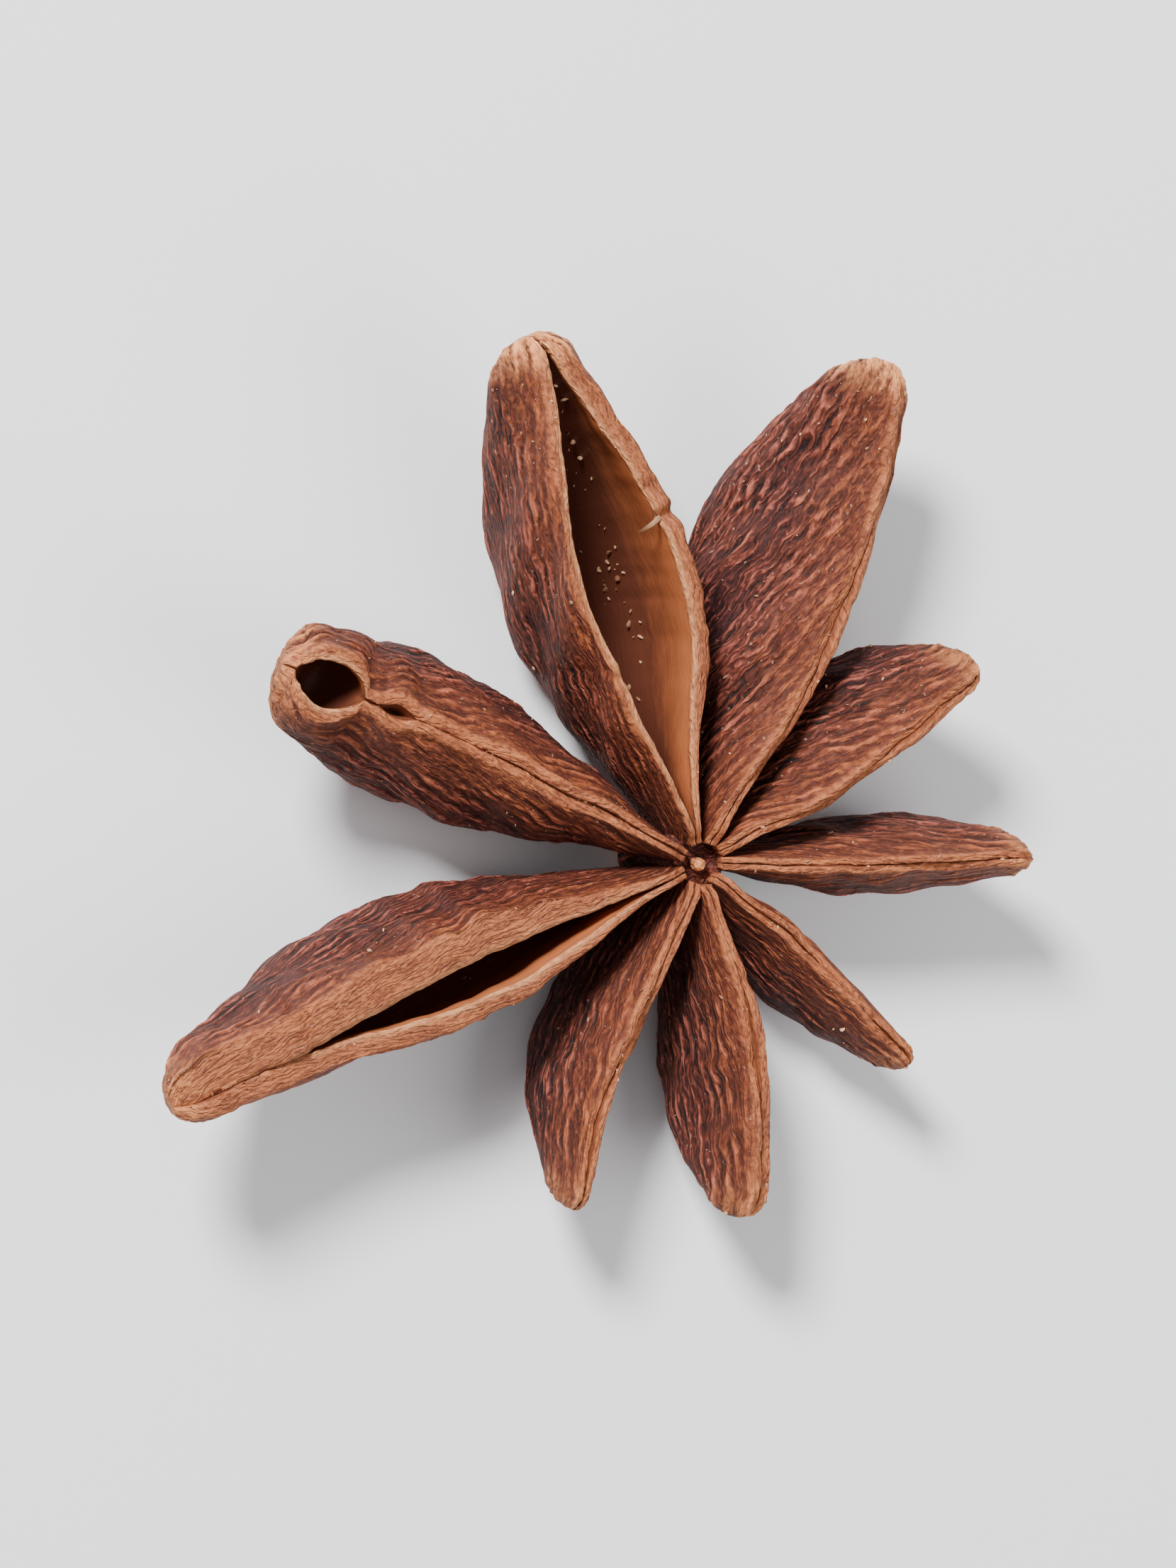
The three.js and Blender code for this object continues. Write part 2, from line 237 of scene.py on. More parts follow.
def gradient_noise(points, seed):
    """Perlin noise, about -1 to 1, at points given as an array whose last axis is x, y, z."""
    rng = np.random.default_rng(seed)
    order = np.tile(rng.permutation(256), 3)
    gradients = rng.normal(size=(256, 3))
    gradients /= np.linalg.norm(gradients, axis=1, keepdims=True)
    cell = np.floor(points).astype(int)
    part = points - cell
    fade = part**3 * (part * (part * 6 - 15) + 10)
    total = np.zeros(points.shape[:-1])
    for corner in np.ndindex(2, 2, 2):
        at = (cell + corner) & 255
        index = order[order[order[at[..., 0]] + at[..., 1]] + at[..., 2]]
        reach = ((part - corner) * gradients[index]).sum(axis=-1)
        total += reach * np.prod(np.where(corner, fade, 1 - fade), axis=-1)
    return total * 1.6


def seam_noise(noises, x, row):
    """The sum of noises that run along a seam only; row picks one line of them."""
    total = 0
    for height, waves, seed in noises:
        points = np.stack([x * waves, 0 * x + row * ROW_STEP + 0.5, 0 * x + 0.5], axis=-1)
        total = total + height * gradient_noise(points, seed)
    return total


def own_noise(own, noise):
    """One of the noises over a carpel, at points in its own axes."""
    waves, seed = noise
    return gradient_noise(own * np.array(waves), seed)


def ridges(points, seed):
    """Thin raised lines, 1 on a crest and near 0 between."""
    return (1 - np.minimum(np.abs(gradient_noise(points, seed)), 1)) ** 4


def crests(turns):
    """Narrow rounded crests one turn apart: 1 on a crest and 0 in the wider valley between."""
    return (0.5 + 0.5 * np.cos(2 * np.pi * turns)) ** 1.5


def smooth(t):
    t = np.clip(t, 0, 1)
    return t * t * (3 - 2 * t)


def mix(a, b, t):
    return a + (b - a) * t


def lens(s, start, end):
    """A bump that rises from 0 at one share of the length and is back at 0 at another."""
    return np.where((s > start) & (s < end), np.sin(np.pi * (s - start) / (end - start)), 0.0)


# Sections of a carpel -----------------------------------------------------------------------------


def nose(s):
    """1 along the carpel, and down to almost 0 where the beak rounds off."""
    past = np.clip((s - NOSE_SHARE) / (NOSE_END - NOSE_SHARE), 0, 1)
    return np.sqrt(1 - past * past)


def along_carpel(s, belly_at, root, belly, beak):
    """A size that grows from root to belly and shrinks to the beak."""
    growing = mix(root, belly, np.sin(np.pi / 2 * np.clip(s / belly_at, 0, 1)) ** 1.25)
    beyond = np.clip((s - belly_at) / (1 - belly_at), 0, 1)
    shrinking = mix(beak, belly, np.clip(np.cos(np.pi / 2 * beyond), 0, 1) ** 1.15) * nose(s)
    return np.where(s < belly_at, growing, shrinking)


def seam_height(carpel, s):
    """Low at the pit, arched along the carpel, lifted at the beak and rounded off round the nose."""
    arch = carpel["rise"] * s**3 + SEAM_ARCH * np.sin(np.pi * s)
    return arch - NOSE_DROP * (1 - nose(s)) - ROOT_DIP["height"] * (1 - smooth(s / ROOT_DIP["share"]))


def lip_width(carpel, index, s, side):
    """How wide the plain lip is: narrow at the hub, uneven along the seam and gone at the nose."""
    uneven = seam_noise(LIP_UNEVEN, carpel["length"] * s, 2 * index + side)
    lip = carpel["lips"][0 if side == 1 else 1]
    return mix(ROOT_LIP, lip * (1 + uneven), smooth(2 * s)) * nose(s)


def edge_drop(carpel, index, s, side):
    """How far the top of a lip is worn or chipped away."""
    drop = seam_noise(LIP_WEAR, carpel["length"] * s, 2 * index + side)
    for nick_side, share, depth, half_width in carpel.get("nicks", ()):
        if nick_side == side:
            drop = drop + depth * np.exp(-(((s - share) / half_width) ** 2))
    return drop * nose(s)


def section_sizes(carpel, index, s):
    """The sizes of the cross-sections at the shares s, as columns."""
    split = carpel.get("split", NO_SPLIT)
    slot = carpel.get("slot", NO_SLOT)
    phase = PHASE_STEP * index
    bump = np.clip(lens(s, split["start"], split["end"]), 0, 1)
    slotted = np.clip(lens(s, slot["start"], slot["end"]), 0, 1)
    openness = np.sqrt(bump)
    raised = split["rim"] * openness
    belly_at = carpel["belly"]
    depth = along_carpel(s, belly_at, ROOT_DEPTH, carpel["depth"], BEAK_DEPTH)
    half_gap = split["gap"] / 2 * bump ** split["ease"] + GROOVE["half_width"] * nose(s)
    half_gap = half_gap + slot["gap"] / 2 * slotted
    hollow = mix(GROOVE["depth"] * nose(s), np.minimum(split["hollow"], depth - WALL), openness)
    return dict(
        s=s,
        phase=phase,
        openness=openness,
        depth=depth,
        top=seam_height(carpel, s),
        half_width=along_carpel(s, belly_at, ROOT_HALF_WIDTH, carpel["width"] / 2, carpel["beak"] / 2),
        half_gap=half_gap,
        lips={side: half_gap + lip_width(carpel, index, s, side) + raised for side in (1, -1)},
        hollow=hollow + slot["depth"] * slotted,
        raised=raised,
        lip_wave=LIP_WAVE["height"] * np.sin(LIP_WAVE["along"] * s + phase) * smooth(4 * s) * nose(s),
        wrinkle=COARSE["height"] * carpel["width"] * np.sin(np.pi * s),
    )


def wall_depths(carpel, sizes):
    """How far below the seam the points of an outer wall lie, from beside the keel up."""
    widest_at = sizes["depth"] * WIDEST_SHARE
    lower_steps = round(carpel["depth"] * LOWER_WALL_SHARE / PITCH)
    upper_steps = round(carpel["depth"] * WIDEST_SHARE / PITCH)
    lower = np.cos(np.pi / 2 * np.arange(1, lower_steps + 1) / lower_steps)
    upper = 1 - np.arange(1, upper_steps) / upper_steps
    return np.hstack([mix(widest_at, sizes["depth"], lower), widest_at * upper])


def wall_offset(sizes, lip, below):
    """How far the outer wall stands from the middle plane, at heights below the seam."""
    widest_at = sizes["depth"] * WIDEST_SHARE
    widest = np.maximum(sizes["half_width"], lip * 1.03)
    above = mix(widest, lip, np.clip(1 - below / widest_at, 0, 1) ** 1.7)
    across = np.clip((below - widest_at) / (sizes["depth"] - widest_at), 0, 1)
    under = widest * np.sqrt(1 - across * across) ** 0.9
    return np.where(below < widest_at, above, under)


def hollow_offset(sizes, lip, share):
    """How far the inner wall stands from the middle plane, at shares of the hollow's depth."""
    room = np.maximum(wall_offset(sizes, lip, sizes["hollow"] * share) - WALL, sizes["half_gap"] / 2)
    opened = mix(sizes["half_gap"], room, smooth(share / 0.4)) * np.sqrt(1 - share**4)
    return mix(sizes["half_gap"] * (1 - share), opened, sizes["openness"])


def distance_down(y, z):
    """How far each point of a wall lies from the wall's last point, along the wall."""
    steps = np.hypot(np.diff(y, axis=1), np.diff(z, axis=1))
    return np.hstack([np.cumsum(steps[:, ::-1], axis=1)[:, ::-1], 0 * y[:, -1:]])


def side_points(carpel, index, sizes, side, hollow_steps):
    """One side of every section, from beside the keel over the lip and down the inside: y, z and
    the marks, each with a row for each station. lip is 1 on the lip, rim on its inner edge and
    inside on the inner wall. hollow is the share of the hollow's depth, below how far an outer wall
    is under the seam, and down how far along the wall from the lip, under 0 on the lip and inside."""
    lip = sizes["lips"][side]
    below = wall_depths(carpel, sizes)
    offset = wall_offset(sizes, lip, below)
    wave = np.sin(COARSE["along"] * sizes["s"] + COARSE["down"] * below * side + sizes["phase"])
    drop = edge_drop(carpel, index, sizes["s"], side) - sizes["raised"]
    wall_y = offset + wave * sizes["wrinkle"] * np.clip(offset, 0, 1)
    wall_z = sizes["top"] - below - drop * np.exp(-below / WEAR_REACH["outside"])

    over = np.arange(LIP_STEPS + 1) / LIP_STEPS
    width = lip - sizes["half_gap"]
    crown = LIP_CROWN["share"] * np.minimum(width, LIP_CROWN["up_to"]) * (1 - (2 * over - 1) ** 4)
    lip_y = mix(lip, sizes["half_gap"], over)
    lip_z = sizes["top"] + side * sizes["lip_wave"] + crown - drop

    share = np.arange(1, hollow_steps) / hollow_steps
    sunk = sizes["hollow"] * share
    inner_y = hollow_offset(sizes, lip, share)
    inner_z = sizes["top"] + side * sizes["lip_wave"] * (1 - share) - sunk
    inner_z = inner_z - drop * np.exp(-sunk / WEAR_REACH["inside"])

    on_wall, on_lip, on_inner = 0 * below, 0 * lip_z, 0 * inner_y
    marks = dict(
        lip=(np.exp(-below / LIP_FADE["outside"]), on_lip + 1, np.exp(-sunk / LIP_FADE["inside"])),
        rim=(on_wall, smooth(1 - (1 - over) * width / RIM_WIDTH), np.exp(-sunk / RIM_FADE)),
        inside=(on_wall, on_lip, smooth(sunk / INSIDE_FADE)),
        hollow=(on_wall, on_lip, share + on_inner),
        below=(below, on_lip, on_inner),
        down=(distance_down(wall_y, wall_z), -width * over, -width - sunk),
    )
    y = side * np.hstack([wall_y, lip_y, inner_y])
    z = np.hstack([wall_z, lip_z, inner_z])
    return y, z, {mark: np.hstack(parts) for mark, parts in marks.items()}


def ring_points(carpel, index, sizes, hollow_steps):
    """Every whole section: keel, left side, floor of the seam or the hollow, right side."""
    left_y, left_z, left = side_points(carpel, index, sizes, 1, hollow_steps)
    right_y, right_z, right = side_points(carpel, index, sizes, -1, hollow_steps)
    zero = np.zeros_like(sizes["s"])
    keel_z = sizes["top"] - sizes["depth"]
    floor_z = sizes["top"] - sizes["hollow"]
    y = np.hstack([zero, left_y, zero, right_y[:, ::-1]])
    z = np.hstack([keel_z, left_z, floor_z, right_z[:, ::-1]])
    keel = dict(lip=zero, rim=zero, inside=zero, hollow=zero)
    keel.update(below=sizes["depth"], down=left["down"][:, :1])
    floor = dict(lip=zero, rim=zero, inside=zero + 1, hollow=zero + 1)
    floor.update(below=zero, down=left["down"][:, -1:])
    marks = {mark: np.hstack([keel[mark], left[mark], floor[mark], right[mark][:, ::-1]]) for mark in keel}
    marks["open"] = sizes["openness"] + 0 * y
    return y, z, marks


# Placing, relief and meshes -----------------------------------------------------------------------


def turn_about(points, axis, angle):
    matrix = np.array(Matrix.Rotation(math.radians(angle), 3, axis))
    return points @ matrix.T


def tip_over(points, angle, toward):
    """Tips the top of the points over towards a direction."""
    toward = math.radians(toward)
    return turn_about(points, Vector((-math.sin(toward), math.cos(toward), 0)), angle)


def lay_down(points):
    """Leans points in the hub's axes as the pod lies, and lifts them to the hub's place."""
    return tip_over(points, LEAN["angle"], LEAN["toward"]) + np.array(HUB)


def place_sections(carpel, index, sizes, y, z):
    """Puts the sections in the hub's axes: rolled, bowed, wavering, pitched and turned."""
    s = sizes["s"]
    roll = math.radians(carpel["roll"]) * smooth(s / ROLL_SHARE)
    pivot = sizes["top"] - sizes["depth"] / 2
    x = mix(PIT_RADIUS, carpel["length"], s) + 0 * y
    rolled_y = y * np.cos(roll) - (z - pivot) * np.sin(roll)
    rolled_z = y * np.sin(roll) + (z - pivot) * np.cos(roll) + pivot
    waver = seam_noise(SEAM_WAVER, carpel["length"] * s, index)
    bowed_y = rolled_y + carpel["bow"] * np.sin(np.pi * s**BOW_SKEW) + waver * smooth(4 * s)
    points = turn_about(np.stack([x, bowed_y, rolled_z], axis=-1), "Y", -carpel["pitch"])
    return turn_about(points, "Z", carpel["turn"])


def grid_normals(points):
    """Outward normals of a grid whose rows are closed rings."""
    across = np.roll(points, -1, axis=1) - np.roll(points, 1, axis=1)
    along = np.gradient(points, axis=0)
    normals = np.cross(across, along)
    return normals / np.maximum(np.linalg.norm(normals, axis=-1, keepdims=True), 1e-9)


def wrinkles(kind, own, bend, ripple):
    """The crests of one size of wrinkle, at points in the carpel's own axes."""
    along, across = own
    turns = (across + kind["slant"] * along) / kind["pitch"]
    return crests(turns + kind["bend"] * bend + kind["ripple"] * ripple)


def roughness(kind, grain, lumps):
    return kind["grain"] * grain + kind["lumps"] * lumps


def relief(carpel, index, sizes, y, marks):
    """How far each point moves out along its normal. Adds the marks that the colours follow."""
    s = sizes["s"]
    x = carpel["length"] * s + 0 * y
    down = marks.pop("down")
    slope = math.radians(carpel["slope"])
    along = x * math.cos(slope) - down * math.sin(slope)
    across = x * math.sin(slope) + down * math.cos(slope)
    own = np.stack([along, y, across], axis=-1) + OWN_STEP * index
    noises = (SWELL, BEND, RIPPLE, STRENGTH, GRAIN, LUMPS, RAGGED)
    swell, bend, ripple, strength, grain, lumps, ragged = (own_noise(own, noise) for noise in noises)
    strength = smooth(STRONG["middle"] + STRONG["spread"] * strength)
    wide = wrinkles(WIDE, (along, across), bend, ripple)
    narrow = wrinkles(NARROW, (along, across), bend, ripple)

    outside = 1 - marks["inside"]
    wall = outside * (1 - marks["lip"]) * smooth(5 * s) * smooth(marks["below"] / SEAM_MARGIN)
    tip = smooth((x - carpel["length"]) / BEAK_LENGTH + 1 + BEAK_RAGGED * ragged) * outside
    folds = WIDE["height"] * (wide - CREST_MEAN) + NARROW["height"] * (narrow - CREST_MEAN)
    flesh = SWELL_HEIGHT * swell + strength * folds
    height = wall * carpel["wrinkled"] * flesh * np.minimum(1, sizes["half_width"])
    height = height + marks["lip"] * roughness(LIP_ROUGH, grain, lumps)
    height = height + tip * nose(s) * roughness(BEAK_ROUGH, grain, lumps)
    height = height + marks["inside"] * marks["open"] * HOLLOW_LUMPS * lumps

    # The colours follow these marks: the ridge for the painted shade of the valleys and for the pale crests,
    # which are partly painted highlight, and the swell for painted shade where the wall sinks.
    folded = RIDGE_MARK["wide"] * wide + RIDGE_MARK["narrow"] * narrow
    marks["ridge"] = mix(RIDGE_MARK["where_weak"], folded, strength)
    marks["fold"] = 0.5 + 0.5 * swell
    # Where a beak is rubbed most, its pale is partly painted highlight.
    marks["tip"] = tip * carpel.get("worn_and_lit", WORN)
    marks["own"] = own
    return height


def carpel_grid(carpel, index):
    """A carpel's rings of points in the hub's axes, the middles of its two ends, and the marks."""
    stations = round(carpel["length"] / PITCH)
    s = (1 - (1 - np.arange(stations + 1) / stations) ** STATION_EASE)[:, None]
    sizes = section_sizes(carpel, index, s)
    y, z, marks = ring_points(carpel, index, sizes, HOLLOW_STEPS if "split" in carpel else GROOVE_STEPS)
    points = place_sections(carpel, index, sizes, y, z)
    middle = sizes["top"] - (sizes["depth"] + sizes["hollow"]) / 2
    middles = place_sections(carpel, index, sizes, 0 * middle, middle)[:, 0]
    marks["tone"] = 0 * y + carpel["tone"]
    height = relief(carpel, index, sizes, y, marks)
    return points + grid_normals(points) * height[..., None], (middles[0], middles[-1]), marks


def grid_faces(rows, sides):
    """The faces over rows of closed rings, with a fan round one more point at each end."""
    here = np.arange(sides)
    there = (here + 1) % sides
    start = (np.arange(rows - 1) * sides)[:, None]
    corners = [start + here, start + there, start + sides + there, start + sides + here]
    quads = np.stack(corners, axis=-1).reshape(-1, 4)
    last = (rows - 1) * sides
    first_fan = np.stack([there, here, np.full(sides, rows * sides)], axis=-1)
    last_fan = np.stack([last + here, last + there, np.full(sides, rows * sides + 1)], axis=-1)
    return quads.tolist() + first_fan.tolist() + last_fan.tolist()


def skin_over(name, rings, ends, marks, material):
    """A closed mesh over a grid of rings in the hub's axes and the middles of its two ends."""
    rows, sides = rings.shape[:2]
    vertices = lay_down(np.vstack([rings.reshape(-1, 3), *ends]))
    vertices[:, 2] = np.maximum(vertices[:, 2], 0)
    mesh = bpy.data.meshes.new(name)
    mesh.from_pydata((vertices * MM).tolist(), [], grid_faces(rows, sides))
    for mark, values in marks.items():
        end_values = np.stack([values[0].mean(axis=0), values[-1].mean(axis=0)])
        numbers = np.concatenate([values.reshape(rows * sides, -1), end_values.reshape(2, -1)])
        kind, key = ("FLOAT_VECTOR", "vector") if mark == "own" else ("FLOAT", "value")
        layer = mesh.attributes.new(mark, kind, "POINT")
        layer.data.foreach_set(key, numbers.ravel().astype(np.float32))
    mesh.shade_smooth()
    mesh.materials.append(material)
    piece = add_piece(name, mesh)
    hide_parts("pod")
    return piece


def add_piece(name, mesh):
    piece = bpy.data.objects.new(name, mesh)
    bpy.context.collection.objects.link(piece)
    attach(piece, "root")
    return piece


# Materials ----------------------------------------------------------------------------------------


def srgb(red, green, blue):
    """A colour given as 8-bit sRGB numbers, as a linear RGBA tuple."""
    def linear(value):
        value /= 255
        return value / 12.92 if value <= 0.04045 else ((value + 0.055) / 1.055) ** 2.4

    return (linear(red), linear(green), linear(blue), 1.0)


class Nodes:
    """Short calls for building a material's node tree."""

    def __init__(self, name):
        self.material = bpy.data.materials.new(name)
        self.material.use_nodes = True
        self.tree = self.material.node_tree
        self.shader = self.tree.nodes["Principled BSDF"]

    def add(self, kind, **settings):
        node = self.tree.nodes.new(kind)
        for key, value in settings.items():
            setattr(node, key, value)
        return node

    def link(self, output, target):
        self.tree.links.new(output, target)

    def put(self, socket, value):
        """Sets a socket to a number or colour, or links an output to it."""
        if isinstance(value, bpy.types.NodeSocket):
            self.link(value, socket)
        else:
            socket.default_value = value

    def attribute(self, name, output):
        node = self.add("ShaderNodeAttribute", attribute_type="GEOMETRY", attribute_name=name)
        return node.outputs[output]

    def mark(self, name):
        """One of the numbers that the mesh carries at its points."""
        return self.attribute(name, "Fac")

    def math(self, operation, a, b=0.0):
        node = self.add("ShaderNodeMath", operation=operation)
        self.put(node.inputs[0], a)
        self.put(node.inputs[1], b)
        return node.outputs[0]

    def product(self, first, *others):
        for other in others:
            first = self.math("MULTIPLY", first, other)
        return first

    def less(self, value):
        """1 less a value."""
        return self.math("SUBTRACT", 1.0, value)

    def total(self, *terms):
        """The sum of numbers given as (weight, output) pairs."""
        result = 0.0
        for weight, output in terms:
            result = self.math("ADD", self.math("MULTIPLY", output, weight), result)
        return result

    def between(self, value, low, high):
        """0 at low and before it, 1 at high and past it, and even in between."""
        node = self.add("ShaderNodeMapRange")
        self.put(node.inputs["Value"], value)
        node.inputs["From Min"].default_value = low
        node.inputs["From Max"].default_value = high
        return node.outputs["Result"]

    def blend(self, factor, a, b):
        """Colour a where the factor is 0 and b where it is 1."""
        node = self.add("ShaderNodeMix", data_type="RGBA", blend_type="MIX")
        self.put(node.inputs["Factor"], factor)
        self.put(node.inputs[6], a)
        self.put(node.inputs[7], b)
        return node.outputs[2]

    def noise(self, wavelength, detail=3, roughness=0.55, distortion=0.0):
        """Noise with features of about that many millimetres: one number, or one for each of the
        carpel's own axes, along its wrinkles, sideways and across its wrinkles."""
        stretch = self.add("ShaderNodeVectorMath", operation="DIVIDE")
        self.link(self.attribute("own", "Vector"), stretch.inputs[0])
        lengths = wavelength if isinstance(wavelength, tuple) else (wavelength,) * 3
        stretch.inputs[1].default_value = lengths
        node = self.add("ShaderNodeTexNoise")
        self.link(stretch.outputs["Vector"], node.inputs["Vector"])
        node.inputs["Scale"].default_value = 1
        node.inputs["Detail"].default_value = detail
        node.inputs["Roughness"].default_value = roughness
        node.inputs["Distortion"].default_value = distortion
        return node.outputs["Fac"]

    def threads(self, pitch, wander, wavelength):
        """Fine lines along the wrinkles, a pitch apart, that wander with a noise: 1 on a line."""
        axes = self.add("ShaderNodeSeparateXYZ")
        self.link(self.attribute("own", "Vector"), axes.inputs[0])
        turns = self.total((1 / pitch, axes.outputs["Z"]), (wander, self.noise(wavelength, 2, 0.5)))
        wave = self.math("COSINE", self.product(turns, 2 * math.pi))
        return self.total((0.5, wave), (0.5, 1.0))

    def lines(self, wavelength, width):
        """Thin lines where a noise crosses its middle: 1 on a line, 0 from width away in the noise."""
        noise = self.noise(wavelength, detail=2, roughness=0.5, distortion=0.4)
        away = self.math("ABSOLUTE", self.math("SUBTRACT", noise, 0.5))
        return self.between(away, width, 0)

    def bump(self, height, depth):
        """Bumps that are so many millimetres deep where the height is 1."""
        node = self.add("ShaderNodeBump")
        node.inputs["Strength"].default_value = 1.0
        node.inputs["Distance"].default_value = depth * MM
        self.put(node.inputs["Height"], height)
        self.link(node.outputs["Normal"], self.shader.inputs["Normal"])


# The valleys' colour is painted shade in the creases between the wrinkles, and the crests' colour is partly
# the husk's paler ridges and partly painted highlight.
VALLEY_SHADE = srgb(26, 9, 8)
WALL_RED = srgb(66, 24, 21)
WALL_ORANGE = srgb(101, 44, 25)
PALE_AND_LIT_CREST = srgb(176, 95, 76)
SEAM_SIDE = srgb(96, 44, 27)
SEAM_SPECK = srgb(184, 102, 56)
LIP = srgb(182, 108, 67)
LIP_DARK = srgb(120, 62, 38)
RIM = srgb(212, 148, 102)
# Beaks, the broken stalk and the knob are rubbed pale; on the two most rubbed beaks this pale is partly
# painted highlight.
BEAK = srgb(255, 168, 106)
GOLD = srgb(190, 110, 66)
# The dark gold deep in a hollow is painted shade.
GOLD_SHADE = srgb(96, 52, 38)
GROOVE_BROWN = srgb(128, 74, 50)
SPECK = srgb(222, 170, 142)
CRUMB_DARK = srgb(120, 70, 46)
CRUMB_PALE = srgb(222, 176, 138)

# In the colours below, a pair of numbers for between is where a colour starts and where it is full.


def wall_colour(n, patches, fine):
    """Valleys darkened as painted shade, a body that goes from red to orange by carpel, in patches and
    towards the seam, and pale crests that are partly the husk's paler ridges and partly painted highlight."""
    seamward = n.math("EXPONENT", n.product(n.mark("below"), -0.8))
    warmth = n.total((0.6, n.mark("tone")), (0.9, n.between(patches, 0.35, 0.65)), (0.5, seamward))
    body = n.blend(n.between(warmth, 0.3, 1.3), WALL_RED, WALL_ORANGE)
    raised = n.total((0.9, n.mark("ridge")), (0.3, n.mark("fold")), (1.0, fine))
    # Painted shade: the lower the wrinkles and the swell, the darker the wall.
    wall = n.blend(n.between(raised, 0.56, 1.02), VALLEY_SHADE, body)
    # Pale crests, partly painted highlight.
    return n.blend(n.between(raised, 1.05, 1.6), wall, PALE_AND_LIT_CREST)


def seam_side(n, wall, patches, streaks):
    """The wall with the speckled orange band beside the seam, which fades out over two millimetres."""
    specks = n.total((0.6, n.noise((0.28, 0.17, 0.17), detail=2)), (0.4, n.mark("ridge")))
    band = n.blend(n.between(specks, 0.42, 0.66), SEAM_SIDE, SEAM_SPECK)
    near = n.between(n.total((1.0, n.mark("below")), (2.4, patches), (0.8, streaks)), 3.7, 1.6)
    return n.blend(n.product(near, 0.75), wall, band)


def lip_colour(n, streaks, grain):
    """A streaked lip, with pale beads along the inner edge where the seam stands open."""
    lip = n.blend(n.between(n.total((0.5, streaks), (0.5, grain)), 0.4, 0.58), LIP_DARK, LIP)
    beads = n.between(n.noise(0.3, detail=2), 0.25, 0.55)
    return n.blend(n.product(n.mark("rim"), n.mark("open"), beads), lip, RIM)


def rubbed_lit_and_dusty(n, skin, patches, streaks, grain):
    """The skin with its beak rubbed pale, partly as painted highlight on the most rubbed beaks, and with
    specks of dust.
    """
    rubbed = n.between(n.total((0.4, streaks), (0.3, grain), (0.3, n.mark("ridge"))), 0.36, 0.55)
    skin = n.blend(n.product(n.mark("tip"), rubbed), skin, BEAK)
    dusty = n.total((1.0, n.noise((0.2, 0.16, 0.16), detail=1)), (0.35, patches))
    return n.blend(n.product(n.between(dusty, 0.9, 1.0), 0.45), skin, SPECK)


def inner_colour(n, streaks):
    """The hollow, golden at the mouth and darkened towards its floor as painted shade, or the brown of a shut
    seam's groove.
    """
    depth = n.total((1.0, n.mark("hollow")), (0.35, n.math("SUBTRACT", streaks, 0.5)))
    # Painted shade: the deeper in the hollow, the darker the gold.
    gold = n.blend(n.between(depth, 0.0, 0.6), GOLD, GOLD_SHADE)
    return n.blend(n.between(n.mark("open"), 0.1, 0.5), GROOVE_BROWN, gold)


def husk_material():
    """The whole carpel: wrinkled wall with painted shade in its valleys, pale lips and beak, smooth golden
    hollow with painted shade towards its floor.
    """
    n = Nodes("husk")
    patches = n.noise(3.0, detail=3)
    threads = n.threads(0.24, 4.0, (0.9, 0.4, 0.4))
    veins = n.lines((1.1, 0.3, 0.26), 0.06)
    streaks = n.noise((1.5, 0.3, 0.3), detail=4, roughness=0.6, distortion=0.3)
    grain = n.noise((0.2, 0.11, 0.11), detail=3, roughness=0.6)
    wall = wall_colour(n, patches, n.total((0.4, threads), (0.2, veins), (0.4, grain)))
    wall = seam_side(n, wall, patches, streaks)
    skin = n.blend(n.mark("lip"), wall, lip_colour(n, streaks, grain))
    skin = rubbed_lit_and_dusty(n, skin, patches, streaks, grain)
    n.put(n.shader.inputs["Base Color"], n.blend(n.mark("inside"), skin, inner_colour(n, streaks)))
    dull = n.less(n.product(n.mark("inside"), 0.55))
    n.put(n.shader.inputs["Roughness"], n.total((0.3, streaks), (0.55, dull)))
    n.shader.inputs["Specular IOR Level"].default_value = 0.3
    outside = n.less(n.product(n.mark("inside"), 0.9))
    n.bump(n.product(n.total((0.7, threads), (0.4, veins), (0.4, grain)), outside), depth=0.05)
    return n.material


def dust_material():
    """Crumbs, each of its own shade, and the shred, lighter at its root and darker at its end as painted
    highlight and painted shade.
    """
    n = Nodes("dust")
    n.put(n.shader.inputs["Base Color"], n.blend(n.mark("tone"), CRUMB_DARK, CRUMB_PALE))
    n.shader.inputs["Roughness"].default_value = 0.85
    return n.material


# Carpels, hub, stalk, shred and crumbs ------------------------------------------------------------


def make_carpels(material):
    """The nine carpels, by name."""
    pieces = {}
    for index, carpel in enumerate(CARPELS):
        points, ends, marks = carpel_grid(carpel, index)
        pieces[carpel["name"]] = skin_over(carpel["name"], points, ends, marks, material)
    return pieces


def turned_grid(profile, steps):
    """Rings of a turned solid from (radius, height) pairs, straight between one pair and the next."""
    profile = np.array(profile, float)
    at = np.linspace(0, len(profile) - 1, steps)
    radius = np.interp(at, range(len(profile)), profile[:, 0])[:, None]
    height = np.interp(at, range(len(profile)), profile[:, 1])[:, None]
    angle = np.arange(ROUND_SEGMENTS) * 2 * np.pi / ROUND_SEGMENTS
    return np.stack([radius * np.cos(angle), radius * np.sin(angle), height + 0 * angle], axis=-1)


def plain_marks(rings, **values):
    """The marks of a piece that has no seam, 0 where no value is given."""
    shape = rings.shape[:2]
    names = ("lip", "rim", "inside", "hollow", "open", "ridge", "fold", "tip", "tone")
    marks = {name: np.full(shape, float(values.get(name, 0))) for name in names}
    marks["below"] = np.full(shape, FAR_BELOW)
    marks["own"] = rings[..., [2, 0, 1]]
    return marks


def row_middles(rings):
    """The middles of the first and the last ring."""
    return rings[0].mean(axis=0), rings[-1].mean(axis=0)


